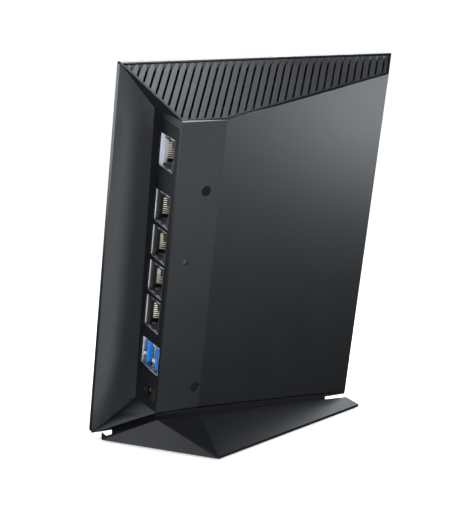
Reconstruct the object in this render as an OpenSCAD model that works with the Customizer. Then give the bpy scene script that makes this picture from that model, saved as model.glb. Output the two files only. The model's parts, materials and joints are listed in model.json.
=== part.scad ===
// Upright wireless router: a flat front panel, a faceted rear casing with a row of sockets in a
// side bay, a ribbed vent along the top, and a low faceted stand. Millimetres, +Z up.
// The origin is on the table, at the middle of the whole object's footprint box.
// Body coordinates: x across, y from the back of the front panel to the rear, z up the panel.

/* [Panel] */
// Width of the front panel
panel_w = 149; // [146:0.5:152]
// Height of the front panel
panel_h = 188; // [184:1:192]
// Thickness of the front panel
panel_t = 2.8; // [2.2:0.2:3.6]
// Rearward lean of the whole body, in degrees
lean = 11.8; // [8:0.2:14]
// Height of the panel's lower rear edge above the table
panel_gap = 3; // [2.5:0.5:5]

/* [Casing] */
// Depth of the casing at its flat rear strip
strip_depth = 32.3; // [31.5:0.1:33.5]
// Socket-side edge of the rear strip
strip_outer = 57.1; // [56.6:0.1:57.6]
// Crease between the rear strip and the large sloping face
strip_inner = 34.2; // [32:0.2:36]
// Height up the panel of the strip's lower end
strip_low = 24.2; // [23:0.2:25]
// Height up the panel of the strip's upper end
strip_high = 169; // [168:0.5:171]
// Distance from the centre to the edge of the sloping face
side_x = 66.1; // [64:0.1:68]
// Depth of the casing at that edge
side_depth = 11.8; // [11:0.1:13]
// Wall thickness of the casing
wall = 1.8; // [1.6:0.1:2]

/* [Vent] */
// Distance between vent slots along the panel's top edge
slot_pitch = 4.07; // [3.9:0.01:4.4]
// Width of a vent slot, measured across the panel
slot_w = 1.15; // [0.9:0.05:1.5]
// Number of vent slots
slot_count = 34; // [30:1:34]
// Sideways run of a slot for each millimetre down the vent
slot_slant = 0.625; // [0.5:0.005:0.7]
// Width of the casing's rim around the vent
vent_rim = 0.9; // [0.8:0.1:1.6]

/* [Sockets] */
// Height up the panel of the internet socket's centre
wan_z = 150.6; // [150:0.1:151.5]
// Height up the panel of the lowest network socket's centre
lan_z = 70.6; // [70:0.1:71.5]
// Distance between network sockets
lan_pitch = 17.67; // [17.4:0.01:17.8]
// Height up the panel of the USB pair's centre
usb_z = 49.6; // [49.2:0.1:50]
// Height up the panel of the power inlet's centre
inlet_z = 31.6; // [31.2:0.1:32]

/* [Buttons] */
// Travel of the power button
power_travel = 1.2; // [0.8:0.1:1.3]
// Travel of the reset button
reset_travel = 0.6; // [0.4:0.1:0.8]

/* [Stand] */
// Gap between the casing's underside and the stand's top, measured straight down
stand_gap = 3.8; // [3.4:0.1:4.2]
// Height of the stand's lower rim above the table
rim_z = 0.8; // [0.6:0.1:1]
// Height of the upright lip around the stand's foot
lip_h = 1.4; // [1:0.1:1.8]

/* [Hidden] */

$fn = 40;
eps = 0.01;

// Extremes of the object front to back, which place the origin
front_y = -panel_t * cos(lean);
rear_y = strip_depth * cos(lean) + strip_high * sin(lean);
mid_y = (front_y + rear_y) / 2;

// Slopes of the casing's planes, each as a run per millimetre of depth
top_slope = (panel_h - strip_high) / strip_depth;
low_slope = strip_low / strip_depth;
side_slope = (panel_w / 2 - side_x) / side_depth;
bay_slope = (panel_w / 2 - strip_outer) / strip_depth;
face_slope = (strip_depth - side_depth) / (strip_inner + side_x);

// Lengthening of a wall's thickness when it is measured along an axis
function along(slope) = sqrt(1 + slope * slope);

// Edges of the casing at depth y, inset by t
function top_z(y, t) = panel_h - top_slope * y - t * along(top_slope);
function low_z(y, t) = low_slope * y + t * along(low_slope);
function side_edge(y, t) = -panel_w / 2 + side_slope * y + t * along(side_slope);
function bay_edge(y, t) = panel_w / 2 - bay_slope * y - t * along(bay_slope);
function face_depth(x, t) = strip_depth - face_slope * (strip_inner - x) - t * along(face_slope);

// Port bay: inner corners, and the slight tilt of the socket wall
port_tilt = 2.8;
bay_low_depth = 12;
bay_high_depth = 6.6;
bay_low_z = 22.9;
bay_high_z = 167.9;
function port_x(y) = strip_outer + (strip_depth - y) * tan(port_tilt);
bay_low = [port_x(bay_low_depth), bay_low_depth, bay_low_z];
bay_high = [port_x(bay_high_depth), bay_high_depth, bay_high_z];

// Front faces of the sockets, and the board that carries them
socket_x = 57.2;
board_front = 11.6;
board_t = 1.6;
board_rear = board_front + board_t;
board_left = -40;
board_right = 54.5;
board_low = 27;
board_high = 168;
board_cut = [5, 20];

// Thickness of the vent grille, and how deep its opening is cut into the casing
vent_t = 1.6;
vent_seat = 1.9;

// Network sockets: 16 mm wide standard jacks
jack_w = 16;
jack_h = 14.2;
jack_l = 21;
shield_t = 0.4;
jack_mouth_w = 11.9;
jack_mouth_low = 16.4;
jack_mouth_high = 23.7;
latch_w = 6.2;
latch_high = 26.3;
jack_depth = 14;
contact_pitch = 1.02;
contact_t = 0.35;
contact_y = jack_mouth_low + 0.5;
lan_count = 4;
lan_heights = [for (i = [0:lan_count - 1]) lan_z + i * lan_pitch];

// USB pair: two receptacles in one flared shell, one behind the other
usb_w = 14.4;
usb_h = 17.2;
usb_y = board_rear + usb_h / 2;
usb_l = 17.5;
usb_mouth_w = 12.6;
usb_mouth_h = 5.2;
usb_step = 9.4;
usb_depth = 15;
usb_tongue_t = 1.8;
usb_tongue_y = 0.3;
usb_tongue_back = 1.2;
usb_recess = 1.9;

// Barrel power inlet
inlet_y = 22.6;
inlet_w = 9;
inlet_h = 8;
inlet_l = 13;
inlet_r = 2.95;
inlet_pin_r = 1;
inlet_depth = 10;
inlet_collar_r = 3.5;
inlet_foot = [44, 50];
inlet_foot_w = 6;

// Buttons
power_y = 28.8;
power_z = 31.2;
power_w = 2.5;
power_h = 6.7;
power_gap = 0.15;
power_back = 54.6;
reset_y = 14.5;
reset_z = 134.6;
reset_r = 1.35;
reset_gap = 0.15;
reset_back = 55.4;
flange_t = 0.8;
reset_flange_shift = 0.6;
switch_l = 6;
switch_foot_l = 3;
switch_top = 7;
switch_low = 3.5;
reset_switch_l = 4;
reset_switch_w = 4.8;
reset_switch_h = 3.4;

// Socket plate let into the bay wall
plate_low = 40.6;
plate_high = 165;
plate_front = 12.4;
plate_rear = 30.7;
plate_gap = 0.1;
plate_r = 2.4;
cut_gap = 0.12;

// Cuts through the bay wall run from the inside to the outside position
cut_in = 50;
cut_out = 62;

// Screws
plug_r = 2.4;
plug_t = 1.9;
plug_seat = 27.6;
plug_spots = [[41.6, 135.1], [37, 35.1]];
hidden_spots = [[-56, 40], [-56, 150]];
screw_r = 1.2;
head_r = 2.1;
head_t = 1.8;
boss_r = 3.1;
rear_screw_spot = [48.7, 100.8];
rear_boss_front = 28;
board_spots = [[-34, 34], [-34, 161], [14, 161], [16, 33]];

// Inner frame that carries the board behind the front panel
frame_front = 0.5;
frame_rear = 2.3;
frame_left = -67;
frame_right = 61;
frame_low = 8;
frame_high = 176;
window_lefts = [-30, 4];
window_lows = [62, 108];
window_w = 26;
window_h = 36;
hidden_post_end = 7;
pilot_front = 3;

// Indicator lights
light_count = 6;
light_pitch = 9;
light_z = 44;
light_r = 1.1;
light_first = -30;

// Stand outline on the table, and the ends of its top ridge, in x and in y from the panel
stand_left = [71.9, 6.4];
stand_tip = [36.6, 61.7];
stand_right = [-71.4, 18.3];
stand_front = 6.4;
ridge_left_end = [69.5, 7.6];
ridge_left = [56.7, 37.4];
ridge_centre = [33.6, 36.7];
ridge_right = [-66.2, 14.1];
stand_wall = 2;
stand_inset = 3.4;
foot_r = 3.8;
foot_h = 2.2;
foot_spots = [[56, 15.2], [-56, 15.2], [33, 49], [-13, 30.5]];
stand_screw_spots = [[44, 28], [-26, 23]];
stand_plate_low = rim_z + 0.2;
ballast_outline = [[48, 17], [37, 42], [-34, 20], [-30, 15]];

// Neck between the stand and the casing: its ends, front face and distance inside the rear edges
neck_left = 66.5;
neck_right = -55;
neck_front = 6;
neck_inset = 4.2;

// Raised left corner of the stand
horn_h = 5;
horn_inner = 68.9;
horn_run = 3;

// Height of the casing's underside above the table at distance y behind the panel
under_slope = (low_slope * cos(lean) - sin(lean)) / (cos(lean) + low_slope * sin(lean));
function under_z(y) = panel_gap + under_slope * y;
function stand_top_z(y) = under_z(y) - stand_gap;

// Colours
shell_black = [0.11, 0.11, 0.12];
panel_black = [0.06, 0.06, 0.07];
port_black = [0.09, 0.09, 0.1];
steel = [0.78, 0.79, 0.81];
gold = [0.85, 0.66, 0.25];
usb_blue = [0.1, 0.4, 0.85];
rubber_black = [0.03, 0.03, 0.03];
board_green = [0.05, 0.25, 0.15];
clear_white = [0.85, 0.9, 0.95];

// Places children given in body coordinates
module in_body() {
    translate([0, -mid_y, panel_gap]) rotate([-lean, 0, 0]) children();
}

// Places children given in table coordinates, with y from the panel's lower rear edge
module on_table() {
    translate([0, -mid_y, 0]) children();
}

// Box from a low corner to a high corner
module span(low, high) {
    translate(low) cube(high - low);
}

// Cylinder that runs rearward from depth y0 to y1
module rod_y(x, z, r, y0, y1) {
    translate([x, y0, z]) rotate([-90, 0, 0]) cylinder(r = r, h = y1 - y0);
}

// Cylinder that runs outward from x0 to x1
module rod_x(y, z, r, x0, x1) {
    translate([x0, y, z]) rotate([0, 90, 0]) cylinder(r = r, h = x1 - x0);
}

// Solid of a few corner points
module corners(points) {
    hull() {
        for (p = points) translate(p) cube(eps / 10, center = true);
    }
}

// Solid casing inset by t, with its open face at depth front
module casing_form(t, front) {
    rear = strip_depth - t;
    edge = side_depth - 1.25 * t;
    front_points = [
        for (x = [side_edge(front, t), bay_edge(front, t)], z = [low_z(front, t), top_z(front, t)])
            [x, front, z]
    ];
    rear_points = [
        for (x = [strip_inner, bay_edge(rear, t)], z = [low_z(rear, t), top_z(rear, t)])
            [x, rear, z]
    ];
    edge_points = [for (z = [low_z(edge, t), top_z(edge, t)]) [side_edge(edge, t), edge, z]];
    corners(concat(front_points, rear_points, edge_points));
}

// Room of the port bay, grown by t into the casing
module bay_room(t) {
    reach = 1.3;
    low = bay_low + t * [-1, -0.51, -0.32];
    high = bay_high + t * [-1, -0.67, 0.35];
    panel_low = [panel_w / 2, 0, 0];
    panel_high = [panel_w / 2, 0, panel_h];
    strip_low_corner = [strip_outer, strip_depth, strip_low];
    strip_high_corner = [strip_outer, strip_depth, strip_high];
    corners([
        low, high,
        low + reach * (panel_low - bay_low), high + reach * (panel_high - bay_high),
        low + reach * (strip_low_corner - bay_low), high + reach * (strip_high_corner - bay_high)
    ]);
}

// Places a flat outline on the vent: x across, y down the slope, and the solid below the surface
module on_vent() {
    translate([0, 0, panel_h]) rotate([-atan(top_slope), 0, 0]) children();
}

// Outline of the vent face, inset by the margin
module vent_outline(margin) {
    drop = along(top_slope);
    offset(delta = -margin) polygon([
        [panel_w / 2, 0], [strip_outer, strip_depth * drop], [strip_inner, strip_depth * drop],
        [-side_x, side_depth * drop], [-panel_w / 2, 0]
    ]);
}

// Slanted vent slots, all long enough to cross the vent
module vent_slots() {
    first = 66.9;
    length = 45;
    for (i = [0:slot_count - 1]) {
        translate([first - i * slot_pitch, 0]) polygon([
            [0, 0], [slot_w, 0],
            [slot_w + slot_slant * length, length], [slot_slant * length, length]
        ]);
    }
}

// Flat rectangle with rounded corners, from a low corner to a high corner
module round_rect(low, high, r) {
    translate(low + [r, 0]) square([high[0] - low[0] - 2 * r, high[1] - low[1]]);
    translate(low + [0, r]) square([high[0] - low[0], high[1] - low[1] - 2 * r]);
    for (x = [low[0] + r, high[0] - r], y = [low[1] + r, high[1] - r]) {
        translate([x, y]) circle(r = r);
    }
}

// Upright plate from depth y0 to y1 with a rounded outline in x and z
module upright_plate(low, high, r, y0, y1) {
    translate([0, y1, 0]) rotate([90, 0, 0]) linear_extrude(y1 - y0) round_rect(low, high, r);
}

// Rows of indicator positions
module each_light() {
    for (i = [0:light_count - 1]) translate([light_first + i * light_pitch, 0, light_z]) children();
}

module front_panel() {
    half = panel_w / 2;
    color(panel_black) in_body() difference() {
        upright_plate([-half, 0], [half, panel_h], 1, -panel_t, 0);
        each_light() rod_y(0, 0, light_r, -panel_t - 1, 1);
    }
}

module indicator_lenses() {
    color(clear_white) in_body() each_light() rod_y(0, 0, light_r - 0.05, -panel_t + 0.1, 0);
}

module light_guides() {
    color(clear_white) in_body() each_light() {
        rod_y(0, 0, light_r, 0.1, board_front - 1.4);
        rod_y(0, 0, light_r + 0.6, frame_rear + 0.1, frame_rear + 1.1);
    }
}

module status_leds() {
    color("white") in_body() each_light() {
        span([-1.5, board_front - 1, -0.8], [1.5, board_front, 0.8]);
    }
}

module panel_tape() {
    color([0.2, 0.2, 0.2]) in_body() {
        for (x = [frame_left + 1, frame_right - 5]) {
            span([x, 0, frame_low + 8], [x + 4, frame_front, frame_high - 8]);
        }
    }
}

// Places children at each spot, given in x and z
module each_spot(spots) {
    for (s = spots) translate([s[0], 0, s[1]]) children();
}

module inner_frame() {
    color([0.14, 0.14, 0.15]) in_body() difference() {
        union() {
            upright_plate([frame_left, frame_low], [frame_right, frame_high], 3, frame_front,
                          frame_rear);
            each_spot(board_spots) rod_y(0, 0, 3, frame_rear - eps, board_front);
            each_spot(plug_spots) rod_y(0, 0, boss_r, frame_rear - eps, board_front - 0.4);
            each_spot(hidden_spots) rod_y(0, 0, boss_r, frame_rear - eps, hidden_post_end);
        }
        each_spot(board_spots) rod_y(0, 0, screw_r + 0.05, pilot_front, board_front + 1);
        each_spot(plug_spots) rod_y(0, 0, screw_r + 0.05, pilot_front, board_front + 1);
        each_spot(hidden_spots) rod_y(0, 0, screw_r + 0.05, pilot_front, hidden_post_end + 1);
        each_light() rod_y(0, 0, light_r + 0.15, 0, frame_rear + 1);
        for (x = window_lefts, z = window_lows) {
            span([x, 0, z], [x + window_w, frame_rear + 1, z + window_h]);
        }
    }
}

// Hollow boss that runs in from the casing's rear surface
module casing_boss(y0, y1) {
    rod_y(0, 0, boss_r, y0, y1);
}

module rear_casing() {
    mouth = face_depth(hidden_spots[0][0], 0);
    color(shell_black) in_body() difference() {
        union() {
            difference() {
                casing_form(0, eps);
                bay_room(0);
                difference() {
                    casing_form(wall, -1);
                    bay_room(wall);
                }
            }
            each_spot(plug_spots) casing_boss(board_front, strip_depth - 1);
            each_spot([rear_screw_spot]) rod_y(0, 0, 2.2, rear_boss_front, strip_depth - 1);
            each_spot(hidden_spots) casing_boss(hidden_post_end + 0.3, mouth - 1);
        }
        on_vent() translate([0, 0, -vent_seat]) linear_extrude(vent_seat + 1) {
            vent_outline(vent_rim);
        }
        plate_cut();
        rod_x(inlet_y, inlet_z, inlet_collar_r + 0.1, cut_in, cut_out);
        power_cut();
        each_spot(plug_spots) {
            rod_y(0, 0, plug_r + 0.05, plug_seat, strip_depth + 1);
            rod_y(0, 0, screw_r + 0.2, board_front - 1, strip_depth);
        }
        each_spot([rear_screw_spot]) {
            rod_y(0, 0, 1.4, strip_depth - 1.6, strip_depth + 1);
            rod_y(0, 0, 0.85, rear_boss_front - 1, strip_depth);
        }
        each_spot(hidden_spots) {
            rod_y(0, 0, screw_r + 0.05, hidden_post_end, mouth - 3);
        }
        neck_tongues(0.25);
    }
}

module vent_grille() {
    color([0.2, 0.2, 0.21]) in_body() on_vent() translate([0, 0, -vent_t]) {
        linear_extrude(vent_t) difference() {
            vent_outline(vent_rim + 0.1);
            intersection() {
                vent_outline(vent_rim + 1);
                vent_slots();
            }
        }
    }
}

// Outline of the socket plate in y and z, grown by gap
module plate_outline(gap) {
    low = [plate_front - gap, plate_low - gap];
    high = [plate_rear + gap, plate_high + gap];
    round_rect(low, high, plate_r);
}

// Slab that follows the socket wall's tilt, from inner to outer distance behind its surface
module tilted_slab(inner, outer) {
    translate([strip_outer, strip_depth, 0]) rotate([0, 0, port_tilt]) translate([-inner, 0, 0]) {
        rotate([0, 90, 0]) linear_extrude(inner - outer) rotate([0, 0, 90]) {
            translate([-strip_depth, 0]) children();
        }
    }
}

module plate_cut() {
    tilted_slab(wall + 3, -3) plate_outline(plate_gap);
}

module power_cut() {
    g = power_gap;
    span([cut_in, power_y - power_w / 2 - g, power_z - power_h / 2 - g],
         [cut_out, power_y + power_w / 2 + g, power_z + power_h / 2 + g]);
}

module port_plate() {
    color(port_black) in_body() difference() {
        tilted_slab(wall, 0) plate_outline(0);
        for (z = concat([wan_z], lan_heights)) {
            span([cut_in, board_rear - cut_gap, z - jack_w / 2 - cut_gap],
                 [cut_out, board_rear + jack_h + cut_gap, z + jack_w / 2 + cut_gap]);
        }
        span([cut_in, usb_y - usb_h / 2 - cut_gap, usb_z - usb_w / 2 - cut_gap],
             [cut_out, usb_y + usb_h / 2 + cut_gap, usb_z + usb_w / 2 + cut_gap]);
        rod_x(reset_y, reset_z, reset_r + reset_gap, cut_in, cut_out);
    }
}

module main_board() {
    color(board_green) in_body() difference() {
        upright_plate([board_left, board_low], [board_right, board_high], 2, board_front,
                      board_rear);
        each_spot(plug_spots) rod_y(0, 0, boss_r + 0.4, board_cut[0], board_cut[1]);
        each_spot(board_spots) rod_y(0, 0, screw_r + 0.2, board_cut[0], board_cut[1]);
    }
}

// Metal can of one network socket, open at its mouth
module jack_shield() {
    difference() {
        span([socket_x - jack_l, board_rear, -jack_w / 2],
             [socket_x, board_rear + jack_h, jack_w / 2]);
        span([socket_x - jack_l + shield_t, board_rear + shield_t, -jack_w / 2 + shield_t],
             [socket_x + 1, board_rear + jack_h - shield_t, jack_w / 2 - shield_t]);
    }
}

// Plastic core of one network socket with its plug room and latch notch
module jack_insert() {
    inner = shield_t;
    face = socket_x - 0.5;
    difference() {
        span([socket_x - jack_l + inner, board_rear + inner, -jack_w / 2 + inner],
             [face, board_rear + jack_h - inner, jack_w / 2 - inner]);
        span([face - jack_depth, jack_mouth_low, -jack_mouth_w / 2],
             [face + 1, jack_mouth_high, jack_mouth_w / 2]);
        span([face - jack_depth, jack_mouth_high - eps, -latch_w / 2],
             [face + 1, latch_high, latch_w / 2]);
    }
}

// Eight spring contacts of one network socket
module jack_contacts() {
    face = socket_x - 0.5;
    for (i = [0:7]) {
        z = (i - 3.5) * contact_pitch;
        span([face - jack_depth, contact_y, z - contact_t / 2],
             [face - 2.5, contact_y + contact_t, z + contact_t / 2]);
    }
}

module wan_shield() {
    color(steel) in_body() translate([0, 0, wan_z]) jack_shield();
}

module wan_insert() {
    color([0.7, 0.7, 0.74]) in_body() translate([0, 0, wan_z]) jack_insert();
}

module wan_contacts() {
    color(gold) in_body() translate([0, 0, wan_z]) jack_contacts();
}

module lan_shields() {
    color(steel) in_body() for (z = lan_heights) translate([0, 0, z]) jack_shield();
}

module lan_inserts() {
    color(port_black) in_body() for (z = lan_heights) translate([0, 0, z]) jack_insert();
}

module lan_contacts() {
    color(gold) in_body() for (z = lan_heights) translate([0, 0, z]) jack_contacts();
}

// Mouth centres of the two USB receptacles
usb_levels = [usb_y - usb_step / 2, usb_y + usb_step / 2];

module usb_shell() {
    color(steel) in_body() difference() {
        span([socket_x - usb_l, usb_y - usb_h / 2, usb_z - usb_w / 2],
             [socket_x, usb_y + usb_h / 2, usb_z + usb_w / 2]);
        for (y = usb_levels) {
            span([socket_x - usb_depth, y - usb_mouth_h / 2, usb_z - usb_mouth_w / 2],
                 [socket_x + 1, y + usb_mouth_h / 2, usb_z + usb_mouth_w / 2]);
        }
        span([socket_x - usb_recess, usb_y - usb_h / 2 + shield_t, usb_z - usb_w / 2 + shield_t],
             [socket_x + 1, usb_y + usb_h / 2 - shield_t, usb_z + usb_w / 2 - shield_t]);
    }
}

module usb_tongues() {
    color(usb_blue) in_body() for (y = usb_levels) {
        span([socket_x - usb_depth, y + usb_tongue_y - usb_tongue_t, usb_z - usb_mouth_w / 2 + 0.6],
             [socket_x - usb_tongue_back, y + usb_tongue_y, usb_z + usb_mouth_w / 2 - 0.6]);
    }
}

module usb_contacts() {
    color(gold) in_body() for (y = usb_levels, i = [0:3]) {
        z = usb_z + (i - 1.5) * 2.5;
        span([socket_x - usb_depth, y + usb_tongue_y, z - 0.5],
             [socket_x - usb_tongue_back - 1, y + usb_tongue_y + 0.2, z + 0.5]);
    }
}

module power_inlet() {
    color(port_black) in_body() difference() {
        union() {
            span([socket_x - 2 - inlet_l, inlet_y - inlet_h / 2, inlet_z - inlet_w / 2],
                 [socket_x - 2, inlet_y + inlet_h / 2, inlet_z + inlet_w / 2]);
            rod_x(inlet_y, inlet_z, inlet_collar_r, socket_x - 3, socket_x - 0.2);
            span([inlet_foot[0], board_rear, inlet_z - inlet_foot_w / 2],
                 [inlet_foot[1], inlet_y, inlet_z + inlet_foot_w / 2]);
        }
        rod_x(inlet_y, inlet_z, inlet_r, socket_x - inlet_depth, socket_x + 1);
    }
}

module inlet_pin() {
    color(steel) in_body() {
        rod_x(inlet_y, inlet_z, inlet_pin_r, socket_x - inlet_depth, socket_x - 1.2);
    }
}

module inlet_spring() {
    color(steel) in_body() {
        span([socket_x - inlet_depth, inlet_y - inlet_r + 0.25, inlet_z - 0.9],
             [socket_x - 3, inlet_y - inlet_r + 0.5, inlet_z + 0.9]);
    }
}

module power_button() {
    color(rubber_black) in_body() {
        span([power_back, power_y - power_w / 2, power_z - power_h / 2],
             [strip_outer, power_y + power_w / 2, power_z + power_h / 2]);
        span([power_back - flange_t, power_y - 2, power_z - power_h / 2 - 1],
             [power_back + eps, power_y + power_w / 2, power_z + power_h / 2 + 1]);
    }
}

module power_switch() {
    front = power_back - flange_t - power_travel - 0.2;
    color(port_black) in_body() {
        span([front - switch_l, power_y - 2, power_z - switch_low],
             [front, power_y + 1.2, power_z + switch_top]);
        span([front - switch_l, board_rear, inlet_z + inlet_w / 2 + 0.3],
             [front - switch_foot_l, power_y, power_z + switch_top]);
    }
}

module reset_button() {
    color(rubber_black) in_body() {
        rod_x(reset_y, reset_z, reset_r, reset_back, socket_x);
        rod_x(reset_y + reset_flange_shift, reset_z, reset_r + 0.4,
              reset_back - flange_t, reset_back + eps);
    }
}

module reset_switch() {
    front = reset_back - flange_t - reset_travel - 0.2;
    color(port_black) in_body() {
        span([front - reset_switch_l, board_rear, reset_z - reset_switch_w / 2],
             [front, board_rear + reset_switch_h, reset_z + reset_switch_w / 2]);
    }
}

// Parts on the board's rear face: their corners in x and z, and their heights
sink_low = [0, 82];
sink_high = [31, 126];
sink_base = 17;
sink_plate_t = 1.6;
sink_top = 22.6;
fin_pitch = 4;
fin_t = 1.2;
pin_r = 1.1;
pin_spots = [[3.1, 85], [26.5, 123]];
processor_low = [6, 94];
processor_high = [23, 111];
processor_h = 1.2;
pad_margin = [1, 1];
memory_h = 1.1;
memory_boxes = [[[4, 62], [16, 74]], [[-24, 92], [-14, 106]]];
radio_rows = [60, 138];
radio_low = [-26, -5];
radio_high = [-16, 5];
radio_h = 0.9;
can_low = [-36, -14];
can_high = [-8, 14];
can_h = 2.4;
can_wall = [0.4, 0.4];
capacitor_spots = [[26, 40], [26, 52], [6, 46], [-4, 40]];
capacitor_r = 3.1;
capacitor_h = 5.6;
coil_spots = [[16, 136], [16, 148]];
coil_size = [8, 8];
coil_h = 3.6;

// Box from depth y0 to y1, between two corners in x and z
module board_box(low, high, y0, y1) {
    span([low[0], y0, low[1]], [high[0], y1, high[1]]);
}

module processor() {
    color([0.12, 0.12, 0.13]) in_body() {
        board_box(processor_low, processor_high, board_rear, board_rear + processor_h);
    }
}

module thermal_pad() {
    color([0.55, 0.6, 0.75]) in_body() {
        board_box(processor_low - pad_margin, processor_high + pad_margin,
                  board_rear + processor_h, sink_base - sink_plate_t);
    }
}

module heatsink() {
    color([0.6, 0.61, 0.63]) in_body() {
        board_box(sink_low, sink_high, sink_base - sink_plate_t, sink_base);
        for (x = [sink_low[0]:fin_pitch:sink_high[0] - 1]) {
            board_box([x, sink_low[1]], [x + fin_t, sink_high[1]], sink_base - eps, sink_top);
        }
    }
}

module heatsink_pins() {
    color(steel) in_body() for (s = pin_spots) {
        rod_y(s[0], s[1], pin_r, board_rear, sink_base - sink_plate_t);
    }
}

module memory_chips() {
    color([0.12, 0.12, 0.13]) in_body() for (b = memory_boxes) {
        board_box(b[0], b[1], board_rear, board_rear + memory_h);
    }
}

module radio_chips() {
    color([0.12, 0.12, 0.13]) in_body() for (z = radio_rows) translate([0, 0, z]) {
        board_box(radio_low, radio_high, board_rear, board_rear + radio_h);
    }
}

module shield_cans() {
    color(steel) in_body() for (z = radio_rows) translate([0, 0, z]) difference() {
        board_box(can_low, can_high, board_rear, board_rear + can_h);
        board_box(can_low + can_wall, can_high - can_wall, board_rear - 1,
                  board_rear + can_h - can_wall[0]);
    }
}

module capacitors() {
    color([0.2, 0.2, 0.3]) in_body() for (s = capacitor_spots) {
        rod_y(s[0], s[1], capacitor_r, board_rear, board_rear + capacitor_h);
    }
}

module power_coils() {
    color([0.3, 0.28, 0.26]) in_body() for (s = coil_spots) {
        board_box(s, s + coil_size, board_rear, board_rear + coil_h);
    }
}

// Pan-head screw pointing to the front: head seat at depth y, shank of length l
module screw_y(y, l, r, hr, ht) {
    difference() {
        union() {
            rod_y(0, 0, r, y - l, y + eps);
            rod_y(0, 0, hr, y, y + ht);
        }
        span([-hr * 0.6, y + ht - 0.6, -0.3], [hr * 0.6, y + ht + 1, 0.3]);
        span([-0.3, y + ht - 0.6, -hr * 0.6], [0.3, y + ht + 1, hr * 0.6]);
    }
}

module board_screws() {
    color(steel) in_body() each_spot(board_spots) screw_y(board_rear, 8, screw_r, 2.2, 1.5);
}

module casing_screws() {
    shank = 22;
    color(steel) in_body() each_spot(plug_spots) {
        screw_y(plug_seat, shank, screw_r, head_r, head_t);
    }
}

module rear_screw() {
    color([0.3, 0.3, 0.32]) in_body() each_spot([rear_screw_spot]) {
        screw_y(strip_depth - 1.6, 2.6, 0.8, 1.3, 1);
    }
}

module screw_plugs() {
    color(rubber_black) in_body() each_spot(plug_spots) {
        rod_y(0, 0, plug_r, strip_depth - plug_t - 0.15, strip_depth - 0.15);
    }
}

// Flat aerials on the frame, and their leads to the board
antenna_rows = [56, 98, 140];
antenna_edge = -59.6;
antenna_t = 0.8;
top_antenna_low = [-36, 169.5];
top_antenna_high = [6, 175.5];
lead_r = 0.6;
top_lead_x = -10;

module antennas() {
    color([0.2, 0.35, 0.25]) in_body() {
        for (z = antenna_rows) {
            board_box([frame_left + 0.5, z - 15], [antenna_edge, z - 1],
                      frame_rear, frame_rear + antenna_t);
        }
        board_box(top_antenna_low, top_antenna_high, frame_rear, frame_rear + antenna_t);
    }
}

module antenna_leads() {
    y = frame_rear + antenna_t + lead_r;
    color([0.08, 0.08, 0.08]) in_body() {
        for (z = antenna_rows) translate([0, 0, z - 8]) {
            rod_x(y, 0, lead_r, antenna_edge - 2, board_left + 2);
            translate([board_left + 2, y, 0]) sphere(r = lead_r);
            rod_y(board_left + 2, 0, lead_r, y, board_front);
        }
        translate([top_lead_x, y, board_high - 6]) {
            cylinder(r = lead_r, h = 9);
            sphere(r = lead_r);
            rod_y(0, 0, lead_r, 0, board_front - y);
        }
    }
}

// Stand corners at height z above the table
function at(p, z) = [p[0], p[1], z];
function toward(p, q, t) = p + (q - p) * t / norm(q - p);
stand_core = [18, 20];
stand_rim = [stand_left, stand_tip, stand_right, [-66, stand_front], [64, stand_front]];
stand_ridge = [ridge_left_end, ridge_left, ridge_centre, ridge_right, [-60, 7]];

module stand_form(inset, t, low) {
    rim = [for (p = stand_rim) toward(p, stand_core, inset)];
    ridge = [for (p = stand_ridge) toward(p, stand_core, inset)];
    corners(concat(
        [for (p = rim) at(p, low)],
        [for (p = rim) at(p, rim_z + lip_h)],
        [for (p = ridge) at(p, max(stand_top_z(p[1]) - t, rim_z + lip_h))]
    ));
}

// Raised left corner, which closes the gap under the casing
module stand_horn() {
    along_rim = toward(stand_left, stand_tip, horn_run);
    corners([
        at(stand_left, rim_z), at(stand_left, horn_h),
        at([horn_inner, stand_front], rim_z), at([horn_inner, stand_front], rim_z + lip_h),
        at(along_rim, rim_z), at(along_rim, rim_z + lip_h)
    ]);
}

module each_stand_screw() {
    for (s = stand_screw_spots) translate([s[0], s[1], 0]) children();
}

module stand_base() {
    post_low = stand_plate_low + 1.2;
    color(shell_black) on_table() difference() {
        union() {
            difference() {
                stand_form(0, 0, rim_z);
                stand_form(stand_inset, stand_wall, rim_z - 1);
            }
            intersection() {
                stand_form(0.5, 0.5, rim_z);
                each_stand_screw() translate([0, 0, post_low]) cylinder(r = boss_r, h = 20);
            }
            stand_horn();
        }
        each_stand_screw() cylinder(r = screw_r + 0.05, h = 8);
    }
}

// Two tongues of the neck that enter the casing's underside, grown by gap
tongue_spots = [[28, 20], [-34, 7.5]];
module neck_tongues(gap) {
    for (p = tongue_spots) {
        translate([p[0], p[1], low_z(p[1], 0)]) rotate([atan(low_slope), 0, 0]) {
            span([-7 - gap, -2 - gap, -1], [7 + gap, 2 + gap, wall + 1 + gap]);
        }
    }
}

// Slab that fills the gap between the stand and the casing, short of their rear edges
module stand_neck() {
    outline = [
        [neck_left, neck_front], [strip_outer - 2, strip_depth - neck_inset],
        [strip_inner + 2, strip_depth - neck_inset],
        [neck_right, face_depth(neck_right, 0) - neck_inset], [neck_right, neck_front]
    ];
    drop = (stand_gap - 0.05) * [0, sin(lean), -cos(lean)];
    top = [for (p = outline) [p[0], p[1], low_z(p[1], 0) - 0.02]];
    color([0.08, 0.08, 0.09]) in_body() {
        corners(concat(top, [for (p = top) p + drop]));
        neck_tongues(0);
    }
}

module stand_ballast() {
    low = stand_plate_low + 1.25;
    color(steel) on_table() difference() {
        translate([0, 0, low]) linear_extrude(1.4) {
            polygon(ballast_outline);
        }
        each_stand_screw() cylinder(r = boss_r + 0.1, h = 9);
        for (s = foot_spots) translate([s[0], s[1], 0]) cylinder(r = foot_r + 0.1, h = 9);
    }
}

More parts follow.
